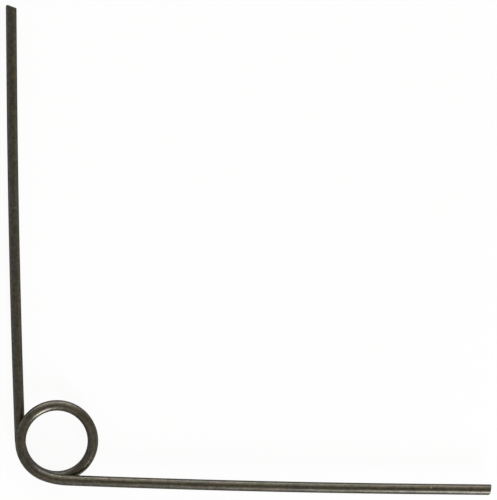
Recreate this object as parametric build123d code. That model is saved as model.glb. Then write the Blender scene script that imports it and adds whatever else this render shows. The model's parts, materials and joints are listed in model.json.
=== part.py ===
from build123d import *
from math import cos, degrees, radians, sin, tan
import os

# A right-hand torsion spring: one length of round wire, wound into a coil, with a long leg
# leaving each end of the coil. Lengths are in millimetres and angles in degrees.
#
# +Z is the axis of the coil. The origin is on that axis, level with the spring's lowest side.
# The lower leg runs out along +Y, from the left of the coil, and the upper leg runs out
# along +X, from its near side. Seen from above, the wire comes in down the lower leg and
# climbs anticlockwise.

# Wire and coil
WIRE_DIAMETER = 1.25
COIL_INSIDE_DIAMETER = 7.25  # runs free on a 6.35 mm arbor, also when it is wound up
COIL_GAP = 0.1  # air between a turn and the one above it
WHOLE_TURNS = 1  # besides the part turn that sets the angle between the legs

# Legs
LEG_ANGLE = 94.4  # between the two legs, where they leave the coil
LOWER_LEG_LENGTH = 51.18  # from the coil's axis to the cut end
UPPER_LEG_LENGTH = 51.4
LEG_BOW_RADIUS = 1500.0  # what is left of the curve that the wire had on its reel
STRAIGHT_END_LENGTH = 8.0  # as far as a leg goes into the hole of the part it turns

# Bends from the coil into the legs
BEND_TURN = 18.0  # how far each bend turns the wire
LOWER_BEND_EASING = 1.5  # how much larger its radius is than the coil's
UPPER_BEND_EASING = 4.45

# Sheared ends
LOWER_CUT_ANGLE = 21.0  # off square, clockwise from above
UPPER_CUT_ANGLE = 9.0
END_ROLL_RADIUS = 0.42  # where the blade went in, on each leg's outer side
LOWER_ROLL_TURN = 65.0  # how far the roll turns away from the cut
UPPER_ROLL_TURN = 40.0
END_EDGE_RADIUS = 0.08

wire_radius = WIRE_DIAMETER / 2
coil_radius = COIL_INSIDE_DIAMETER / 2 + wire_radius
pitch = WIRE_DIAMETER + COIL_GAP
splay = (LEG_ANGLE - 90) / 2  # how far each leg turns away from its axis


def level(plan_angle):
    """A level unit vector, at an angle from +X."""
    return Vector(cos(radians(plan_angle)), sin(radians(plan_angle)), 0)


def bend(start, direction, new_direction, radius):
    """The arc that goes on from a point and turns from one direction to another."""
    half_turn = direction.get_angle(new_direction) / 2
    reach = radius * tan(radians(half_turn))
    end = start + (direction + new_direction) * reach
    return TangentArc(start, end, tangent=direction)


def leg(start, plan_angle, length, bow_side):
    """A leg's bowed run, and its straight end with a little more than is needed."""
    outward = level(plan_angle)
    bowed_length = length - start.dot(outward) - STRAIGHT_END_LENGTH
    bow_turn = bow_side * degrees(bowed_length / LEG_BOW_RADIUS)
    tip_direction = level(plan_angle + bow_turn)
    bowed_run = bend(start, outward, tip_direction, LEG_BOW_RADIUS)
    spare = WIRE_DIAMETER
    straight_end = PolarLine(bowed_run @ 1, STRAIGHT_END_LENGTH + spare, direction=tip_direction)
    return bowed_run, straight_end


def shear(spring, straight_end, cut_angle, outer_side, roll_turn):
    """The spring with one straight end cut to length at a slant, rolled over on its outer side."""
    outward = straight_end % 0
    tip = straight_end @ 0 + outward * STRAIGHT_END_LENGTH
    facing = outward.rotate(Axis.Z, -cut_angle)
    across = facing.rotate(Axis.Z, 90 * outer_side)
    roll_width = END_ROLL_RADIUS * sin(radians(roll_turn))
    roll_depth = END_ROLL_RADIUS * (1 - cos(radians(roll_turn)))
    roll_start = tip + across * (wire_radius / cos(radians(cut_angle)) - roll_width)
    roll_end = roll_start + across * roll_width - facing * roll_depth
    roll = TangentArc(roll_start, roll_end, tangent=across)

    # The scrap is all that lies beyond the cut and the roll.
    past = 2 * WIRE_DIAMETER
    inner, outer = tip - across * past, roll_end + (roll % 1) * past
    around = Polyline(outer, outer + facing * 3 * past, inner + facing * past, inner, roll_start)
    scrap = extrude(make_face([roll, Line(roll_end, outer), around]), WIRE_DIAMETER, both=True)
    spring = spring - scrap

    cut_face = spring.faces().sort_by_distance(tip)[0]
    roll_face = spring.faces().sort_by_distance(roll @ 0.5)[0]
    ridge = [edge for edge in cut_face.edges() if edge in roll_face.edges()]
    rim = [edge for edge in cut_face.edges() + roll_face.edges() if edge not in ridge]
    return fillet(rim, END_EDGE_RADIUS)


# The coil, from the end of the lower bend to the start of the upper one.
coil_turn = 360 * WHOLE_TURNS + 180 - LEG_ANGLE - 2 * BEND_TURN
coil_start_angle = 180 + splay + BEND_TURN
coil = Rot(Z=coil_start_angle) * Helix(pitch, pitch * coil_turn / 360, coil_radius)

# Both legs leave the coil square to its axis.
lower_angle = 90 + splay
lower_bend = bend(coil @ 0, -(coil % 0), level(lower_angle), coil_radius + LOWER_BEND_EASING)
lower_run, lower_end = leg(lower_bend @ 1, lower_angle, LOWER_LEG_LENGTH, bow_side=-1)
upper_angle = -splay
upper_bend = bend(coil @ 1, coil % 1, level(upper_angle), coil_radius + UPPER_BEND_EASING)
upper_run, upper_end = leg(upper_bend @ 1, upper_angle, UPPER_LEG_LENGTH, bow_side=1)

# The wire, swept along the whole path in one go, then cut to length.
path = Wire([lower_end, lower_run, lower_bend, coil, upper_bend, upper_run, upper_end])
section = Plane(path @ 0, z_dir=path % 0) * Circle(wire_radius)
spring_wire = sweep(section, path=path, is_frenet=True)
spring_wire = shear(spring_wire, lower_end, LOWER_CUT_ANGLE, 1, LOWER_ROLL_TURN)
spring_wire = shear(spring_wire, upper_end, UPPER_CUT_ANGLE, -1, UPPER_ROLL_TURN)

# It lies on its lower leg, so the underside of that leg is at height zero.
spring_wire = Pos(Z=wire_radius - (lower_end @ 0).Z) * spring_wire

os.makedirs("parts", exist_ok=True)
export_step(spring_wire, "parts/spring_wire.step")
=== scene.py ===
import json
from math import atan, cos, pi, radians, sin, sqrt, tan, tau

import bmesh
import bpy
from mathutils import Matrix, Vector


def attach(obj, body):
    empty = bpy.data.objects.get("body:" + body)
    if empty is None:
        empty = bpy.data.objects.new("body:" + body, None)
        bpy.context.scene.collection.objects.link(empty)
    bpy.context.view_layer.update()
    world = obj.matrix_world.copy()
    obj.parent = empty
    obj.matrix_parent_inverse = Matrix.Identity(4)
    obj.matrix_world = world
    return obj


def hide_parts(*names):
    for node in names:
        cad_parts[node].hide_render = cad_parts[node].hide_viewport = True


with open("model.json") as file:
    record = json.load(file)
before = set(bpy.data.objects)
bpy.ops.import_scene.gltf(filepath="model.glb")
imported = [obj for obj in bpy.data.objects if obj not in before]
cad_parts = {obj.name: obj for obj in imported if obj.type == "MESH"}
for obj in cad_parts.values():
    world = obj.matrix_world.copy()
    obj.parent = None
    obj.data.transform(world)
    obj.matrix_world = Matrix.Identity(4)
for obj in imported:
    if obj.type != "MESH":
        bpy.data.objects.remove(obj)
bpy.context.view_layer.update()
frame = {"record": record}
mm = 0.001


# ---- The spring wire -----------------------------------------------------------------
# One length of round drawn steel wire. A forming machine feeds it straight, eases it into
# the coil, winds it a turn and a bit, eases it out again and feeds the second leg. Here it
# is formed in the same order, from the end of the lower leg to that of the upper.

mounts = {mount["name"]: mount for mount in frame["record"]["mounts"]}
lower_mount, upper_mount = mounts["lower_leg_end"], mounts["upper_leg_end"]
lower_tip, upper_tip = Vector(lower_mount["pos_m"]), Vector(upper_mount["pos_m"])
lower_axis, upper_axis = Vector(lower_mount["axis"]), Vector(upper_mount["axis"])
straight_end = lower_mount["dims"]["length_mm"] * mm
wire_radius = lower_mount["dims"]["r_mm"] * mm
coil_radius = mounts["arbor"]["dims"]["r_mm"] * mm + wire_radius
coil_gap = 0.1 * mm
coil_slope = atan((2 * wire_radius + coil_gap) / (tau * coil_radius))
coil_turn = radians(409.6)
bend_turn = radians(18)
lower_bend_radius = 5.819 * mm
upper_bend_radius = 8.804 * mm
leg_bow_radius = 1500 * mm
lower_bow_length = 42.696 * mm
upper_bow_length = 41.992 * mm
spare = 2 * wire_radius  # fed at each end, and sheared off
points_round_wire = 48


class OpenEnd:
    """The end of the wire that is being fed: its middle, its heading and how much is out."""

    def __init__(self, middle, heading):
        self.middle, self.heading, self.fed = middle.copy(), heading, 0.0

    def mark(self, length):
        """Notes on the ring at the open end how much wire is out now."""
        self.fed += length
        mesh = bmesh.from_edit_mesh(wire.data)
        unformed = mesh.verts.layers.float_vector["unformed"]
        for point in mesh.verts:
            if point.select:
                point[unformed].x = self.fed
        bmesh.update_edit_mesh(wire.data)

    def feed(self, length, steps):
        """Feeds the wire straight on."""
        for _ in range(steps):
            move = self.heading * length / steps
            bpy.ops.mesh.extrude_edges_move(TRANSFORM_OT_translate={"value": move})
            self.middle += move
            self.mark(length / steps)

    def turn_left(self, turn, radius, steps, slope_at_start=0.0, slope_at_end=0.0):
        """Bends the wire by an angle in radians, while it climbs at a slope."""
        part = turn / steps
        for step in range(steps):
            centre = self.middle + Vector((-self.heading.y, self.heading.x, 0)) * radius
            slope = slope_at_start + (slope_at_end - slope_at_start) * (step + 0.5) / steps
            rise = Vector((0, 0, radius * part * tan(slope)))
            bpy.ops.mesh.spin(steps=1, angle=-part, center=centre, axis=(0, 0, 1))
            bpy.ops.transform.translate(value=rise)
            rotation = Matrix.Rotation(part, 3, "Z")
            self.middle = centre + rotation @ (self.middle - centre) + rise
            self.heading = rotation @ self.heading
            self.mark(radius * part / cos(slope))


bpy.ops.object.select_all(action="DESELECT")
start = lower_tip + lower_axis * spare
bpy.ops.mesh.primitive_circle_add(
    vertices=points_round_wire, radius=wire_radius, location=start,
    rotation=lower_axis.to_track_quat("-Z", "Y").to_euler())
wire = bpy.context.object
wire.name = wire.data.name = "torsion_spring_wire"
bpy.ops.object.transform_apply(location=True, rotation=True, scale=True)

# Each point keeps its place in the wire as it was before it was formed, for the finish to
# follow: how far along it is, how far to the inner side of the bends, and how high.
inner_side = lower_axis.cross(Vector((0, 0, 1)))
unformed = wire.data.attributes.new("unformed", "FLOAT_VECTOR", "POINT")
for point, place in zip(wire.data.vertices, unformed.data):
    offset = point.co - start
    place.vector = (0, offset.dot(inner_side), offset.z)

bpy.ops.object.mode_set(mode="EDIT")
bpy.ops.mesh.select_all(action="SELECT")
open_end = OpenEnd(start, -lower_axis)
open_end.feed(spare + straight_end, steps=6)
open_end.turn_left(lower_bow_length / leg_bow_radius, leg_bow_radius, steps=16)
open_end.turn_left(bend_turn, lower_bend_radius, steps=6, slope_at_end=coil_slope)
open_end.turn_left(
    coil_turn, coil_radius, steps=132, slope_at_start=coil_slope, slope_at_end=coil_slope)
open_end.turn_left(bend_turn, upper_bend_radius, steps=8, slope_at_start=coil_slope)
open_end.turn_left(upper_bow_length / leg_bow_radius, leg_bow_radius, steps=16)
open_end.feed(straight_end + spare, steps=6)
wire_length = open_end.fed


# ---- Its sheared ends ----------------------------------------------------------------
# Each end is sheared off the wire at a slant. The blade rolls over the side that it enters,
# which is the wire's outer one, and leaves a flat that starts burnished and ends torn.

end_edge = 0.11 * mm
roll_radius = 0.42 * mm
flat_rings = 9
weld_distance = 0.0001 * mm  # points nearer than this become one where the blade passes
SHEARED = 1  # the material slot of the flats; 0 is the rest of the wire


def shear(tip, axis, cut_angle, outer_side, roll_turn):
    """Cuts the wire off at a slant, rounds the rim and rolls over its outer side."""
    outwards = Matrix.Rotation(radians(90 * outer_side), 3, "Z")
    outer = outwards @ axis
    facing = Matrix.Rotation(radians(-cut_angle), 3, "Z") @ axis
    across = outwards @ facing
    bpy.ops.mesh.select_mode(type="VERT")
    bpy.ops.mesh.select_all(action="DESELECT")
    mesh = bmesh.from_edit_mesh(wire.data)
    for point in mesh.verts:
        point.select_set((point.co - tip).length < straight_end)
    mesh.select_flush_mode()
    bpy.ops.mesh.bisect(
        plane_co=tip, plane_no=facing, use_fill=True, clear_outer=True, threshold=weld_distance)
    bpy.ops.mesh.bevel(offset_type="WIDTH", offset=end_edge, segments=4, affect="EDGES")
    bpy.ops.mesh.select_mode(type="FACE")
    bpy.ops.mesh.select_all(action="DESELECT")
    mesh = bmesh.from_edit_mesh(wire.data)
    for face in mesh.faces:
        on_flat = len(face.verts) > 4 and (face.calc_center_median() - tip).length < wire_radius
        face.select_set(on_flat)
        if on_flat:
            face.material_index = SHEARED
    for _ in range(flat_rings):
        bpy.ops.mesh.inset(thickness=wire_radius / (flat_rings + 2))

    # Points on the outer side of the flat go back along the wire, on to the round of the roll.
    roll_width = roll_radius * sin(radians(roll_turn))
    roll_start = across * (wire_radius / cos(radians(cut_angle)) - roll_width)
    roll_centre = roll_start - facing * roll_radius
    mesh = bmesh.from_edit_mesh(wire.data)
    unformed = mesh.verts.layers.float_vector["unformed"]
    for point in mesh.verts:
        offset = point.co - tip
        at_cut = offset.length < 2 * wire_radius and abs(offset.dot(facing)) < 1.5 * end_edge
        if at_cut:
            out = offset.dot(outer)
            point[unformed].y, point[unformed].z = -out, offset.z
            if out > roll_start.dot(outer):
                from_centre = out - roll_centre.dot(outer)
                round_height = roll_centre.dot(axis) + sqrt(roll_radius ** 2 - from_centre ** 2)
                flat_height = -out * facing.dot(outer) / facing.dot(axis)
                point.co += axis * (round_height - flat_height)
    bmesh.update_edit_mesh(wire.data)


shear(lower_tip, lower_axis, cut_angle=21, outer_side=1, roll_turn=65)
shear(upper_tip, upper_axis, cut_angle=9, outer_side=-1, roll_turn=40)
bpy.ops.mesh.select_all(action="SELECT")
bpy.ops.mesh.normals_make_consistent(inside=False)
bpy.ops.object.mode_set(mode="OBJECT")
bpy.ops.object.shade_smooth_by_angle(angle=radians(50))


# ---- Its drawn skin ------------------------------------------------------------------
# The wire is drawn through a die, which leaves fine lines along it, then oil-tempered,
# which leaves a thin dark skin in streaks of olive, brown and blue-grey. The coil has
# scuffed streaks and is painted a little lighter, as painted light, and handling has nicked
# the legs.


none, full = (0, 0, 0), (1, 1, 1)  # 0 and 1 as the colours of a ramp


class Value:
    """One value of a material, so that shader maths reads as it would on paper."""

    def __init__(self, socket):
        self.socket = socket

    def node(self, kind, settings, sockets, output=0):
        """Adds a node to the material: its type, its settings and what its sockets take."""
        made = self.socket.id_data.nodes.new(kind)
        for name, setting in settings.items():
            if name == "stops":
                ramp = made.color_ramp.elements
                ramp.remove(ramp[1])
                ramp[0].position, ramp[0].color = setting[0][0], (*setting[0][1], 1)
                for position, colour in setting[1:]:
                    ramp.new(position).color = (*colour, 1)
            else:
                setattr(made, name, setting)
        for name, value in sockets.items():
            if isinstance(value, Value):
                made.id_data.links.new(value.socket, made.inputs[name])
            else:
                made.inputs[name].default_value = value
        return Value(made.outputs[output])

    def maths(self, operation, first, second):
        return self.node("ShaderNodeMath", {"operation": operation}, {0: first, 1: second})

    def __add__(self, other):
        return self.maths("ADD", self, other)

    def __sub__(self, other):
        return self.maths("SUBTRACT", self, other)

    def __rsub__(self, other):
        return self.maths("SUBTRACT", other, self)

    def __mul__(self, other):
        return self.maths("MULTIPLY", self, other)

    __radd__, __rmul__ = __add__, __mul__

    def vector_maths(self, operation, other, output=0):
        return self.node(
            "ShaderNodeVectorMath", {"operation": operation}, {0: self, 1: other}, output)

    def noise(self, along, across, detail=2.0, roughness=0.5):
        """Soft random spots from 0 to 1, so many to the metre along the wire and across it."""
        stretched = self.vector_maths("MULTIPLY", (along, across, across))
        return self.node("ShaderNodeTexNoise", {}, {
            "Vector": stretched, "Scale": 1.0, "Detail": detail, "Roughness": roughness})

    def ramp(self, *stops):
        """This value as a colour, or as a number where the colours are grey."""
        return self.node("ShaderNodeValToRGB", {"stops": stops}, {"Fac": self})

    def oval(self, middle, reach):
        """1 about a place on the wire, and 0 outside an oval round it."""
        offset = self.vector_maths("SUBTRACT", middle).vector_maths("DIVIDE", reach)
        length = offset.vector_maths("LENGTH", (0, 0, 0), output="Value")
        return length.ramp((0.4, full), (1.0, none))

    def mixed(self, other, amount=1.0, blend="MIX"):
        """This colour with another laid over it."""
        return self.node("ShaderNodeMix", {"data_type": "RGBA", "blend_type": blend}, {
            0: amount, 6: self, 7: other}, output=2)


def new_material(name, **constants):
    """A material with its shader's constant values set, and that shader."""
    material = bpy.data.materials.new(name)
    material.use_nodes = True
    shader = Value(material.node_tree.nodes["Principled BSDF"].outputs["BSDF"])
    for socket, constant in constants.items():
        shader.socket.node.inputs[socket.replace("_", " ")].default_value = constant
    return material, shader


def shade(shader, colour, roughness, relief, relief_depth):
    """Gives a shader what varies over the surface."""
    tree, sockets = shader.socket.id_data, shader.socket.node.inputs
    bump = relief.node(
        "ShaderNodeBump", {}, {"Strength": 0.5, "Distance": relief_depth, "Height": relief})
    tree.links.new(colour.socket, sockets["Base Color"])
    tree.links.new(roughness.socket, sockets["Roughness"])
    tree.links.new(bump.socket, sockets["Normal"])


edge_tint = (0.3, 0.3, 0.3, 1)
drawn_skin, shader = new_material("oil_tempered_skin", Metallic=1.0, Specular_Tint=edge_tint)
place = shader.node("ShaderNodeAttribute", {"attribute_name": "unformed"}, {}, output="Vector")
share_along = place.node("ShaderNodeSeparateXYZ", {}, {"Vector": place}) * (1 / wire_length)
# Painted light: this span of the coil is painted lighter below. It starts only where the lower
# turn comes out from under the upper leg, so the turn under the leg stays darker, as painted
# shade. The scuffs lie on the same span.
coil_scuffs_and_painted_light = share_along.ramp((0.44, none), (0.48, full), (0.61, full), (0.64, none))
scuffs = coil_scuffs_and_painted_light * (place.noise(600, 2800, detail=3, roughness=0.6) - 0.5)
die_lines = place.noise(150, 6500, detail=3)
grain = place.noise(2500, 2700, roughness=0.6)

temper = (place.noise(380, 1800) + 0.8 * scuffs).ramp(
    (0.36, (0.0890, 0.0867, 0.0674)),
    (0.50, (0.0915, 0.0857, 0.0679)),
    (0.64, (0.0957, 0.0838, 0.0679)),
)
tarnish = (place.noise(240, 1300) + 0.8 * scuffs).ramp(
    (0.36, (0.965, 0.985, 1.055)),
    (0.50, (1.0, 1.0, 1.0)),
    (0.64, (1.02, 1.01, 0.935)),
)
# The last term is painted light on the coil; the rest is grain, die lines and scuffs.
brightness = 1.3 * grain + 0.5 * die_lines + 0.1 + 1.3 * scuffs + 0.09 * coil_scuffs_and_painted_light
nick = place.oval(
    (wire_length - spare - 7.09 * mm, 0.23 * mm, 0.53 * mm), (0.07 * mm, 0.15 * mm, 0.4 * mm))
scratch = place.oval(
    (spare + 23.55 * mm, 0.08 * mm, 0.6 * mm), (0.07 * mm, 0.25 * mm, 0.4 * mm))
bare_steel = (0.37, 0.35, 0.31, 1)
skin = temper.mixed(brightness, blend="MULTIPLY").mixed(tarnish, blend="MULTIPLY")
shade(
    shader, skin.mixed(bare_steel, amount=nick + 0.35 * scratch),
    0.26 + 0.10 * grain + 0.06 * die_lines, die_lines, 0.01 * mm)

sheared_steel, shader = new_material("sheared_steel", Metallic=1.0, Specular_Tint=edge_tint)
place = shader.node("ShaderNodeAttribute", {"attribute_name": "unformed"}, {}, output="Vector")
inwards = place.node("ShaderNodeSeparateXYZ", {}, {"Vector": place}, output="Y") * (1 / mm)
tearing = place.noise(9000, 9000, detail=3)
blade_lines = place.vector_maths("MULTIPLY", (0, 0.12, 1)).noise(1, 9000)
depth = inwards + 0.25 * tearing + 0.5
torn = depth.ramp((0.40, none), (0.50, full))
cut = depth.ramp(
    (0.02, (0.0915, 0.0862, 0.0672)),
    (0.12, (0.25, 0.24, 0.215)),
    (0.40, (0.22, 0.21, 0.19)),
    (0.50, (0.12, 0.115, 0.10)),
    (1.00, (0.16, 0.15, 0.13)),
)
shade(
    shader, cut.mixed(0.6 + 0.8 * tearing, blend="MULTIPLY"), 0.25 + 0.25 * torn,
    torn * tearing + 0.3 * blade_lines, 0.05 * mm)

wire.data.materials.append(drawn_skin)
wire.data.materials.append(sheared_steel)
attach(wire, "root")
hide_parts("spring_wire")


# ---- The table it lies on ------------------------------------------------------------
# A plain white table top. It stays white where it is seen or mirrored, and keeps the
# spring's soft shadow.

bpy.ops.object.select_all(action="DESELECT")
table_width = 4.0
bpy.ops.mesh.primitive_plane_add(size=table_width)
table_top = bpy.context.object
table_top.name = "table_top"
glow_share = 0.93  # the rest is lit paint, which takes the shadow
white, paint = new_material(
    "white_table_top", Base_Color=(0.95, 0.95, 0.95, 1), Roughness=1.0, Specular_IOR_Level=0)
camera_rays, glossy_rays, clear_rays = (
    paint.node("ShaderNodeLightPath", {}, {}, output=f"Is {kind} Ray")
    for kind in ("Camera", "Glossy", "Transmission"))
seen_or_mirrored = camera_rays + glossy_rays + clear_rays
glow = paint.node("ShaderNodeEmission", {}, {"Color": (1, 1, 1, 1), "Strength": 1.0})
top = paint.node(
    "ShaderNodeMixShader", {}, {0: glow_share * seen_or_mirrored, 1: paint, 2: glow})
white.node_tree.links.new(top.socket, white.node_tree.nodes["Material Output"].inputs["Surface"])
table_top.data.materials.append(white)


# ---- The lights and the camera -------------------------------------------------------
# Wide soft boxes stand behind the spring and low round the other sides, two small ones in
# front give the wire its bright lines, and the room is dim grey. The camera looks almost
# straight down, a little from behind and from the left.

room = bpy.data.worlds.new("dim_grey_room")
bpy.context.scene.world = room
room.use_nodes = True
room.node_tree.nodes["Background"].inputs["Color"].default_value = (0.455, 0.42, 0.385, 1)

look_at = Vector((22.425, 22.621, 1.5)) * mm


def soft_box(name, towards, distance, width, height, light):
    """A soft light that faces the spring. Its light is the colour that a mirror would show."""
    lamp = bpy.data.lights.new(name, "AREA")
    lamp.shape, lamp.size, lamp.size_y = "RECTANGLE", width, height
    lamp.energy = max(light) * width * height * pi
    lamp.color = [part / max(light) for part in light]
    stand = bpy.data.objects.new(name, lamp)
    bpy.context.scene.collection.objects.link(stand)
    stand.location = look_at + Vector(towards).normalized() * distance
    stand.rotation_euler = (look_at - stand.location).to_track_quat("-Z", "Y").to_euler()


soft_box("low_back_light", (0.0, 0.993, 0.122), 0.40, 0.62, 0.098, (5.9, 6.1, 6.75))
soft_box("high_back_light", (0.0, 0.743, 0.669), 0.40, 0.343, 0.17, (1.55, 1.51, 1.26))
soft_box("low_front_lamp", (0.391, -0.878, 0.276), 0.30, 0.061, 0.128, (11, 13.4, 13.8))
soft_box("high_front_lamp", (0.262, -0.807, 0.53), 0.30, 0.053, 0.084, (18.8, 18.7, 20.8))
soft_box("front_light", (0.033, -0.939, 0.342), 0.40, 0.274, 0.26, (0.375, 0.37, 0.55))
soft_box("top_light", (-0.05, -0.571, 0.819), 0.40, 0.459, 0.214, (0.33, 0.30, 0.22))
soft_box("left_light", (-0.906, 0.0, 0.423), 0.40, 0.419, 0.291, (0.06, 0.14, 0.35))
soft_box("right_light", (0.906, 0.0, 0.423), 0.40, 0.419, 0.291, (0.25, 0.25, 0.147))

camera_distance = 400 * mm
picture_width = 497  # pixels
picture_scale = 8.5157 / mm  # pixels to the metre at the spring
roll, tilt_back, tilt_left = radians(-0.393), radians(4.267), radians(2.592)
table_to_camera = (
    Matrix.Rotation(roll, 3, "Z") @ Matrix.Rotation(tilt_back, 3, "X")
    @ Matrix.Rotation(tilt_left, 3, "Y"))
camera_axes = table_to_camera.transposed()
camera_data = bpy.data.cameras.new("camera")
camera_data.sensor_fit = "HORIZONTAL"
camera_data.lens = (
    camera_data.sensor_width * picture_scale * camera_distance / picture_width)
camera_data.clip_start = 0.01
camera = bpy.data.objects.new("camera", camera_data)
bpy.context.scene.collection.objects.link(camera)
camera_place = look_at + camera_axes.col[2] * camera_distance
camera.matrix_world = Matrix.Translation(camera_place) @ camera_axes.to_4x4()
bpy.context.scene.camera = camera
bpy.context.scene.view_settings.view_transform = "Standard"
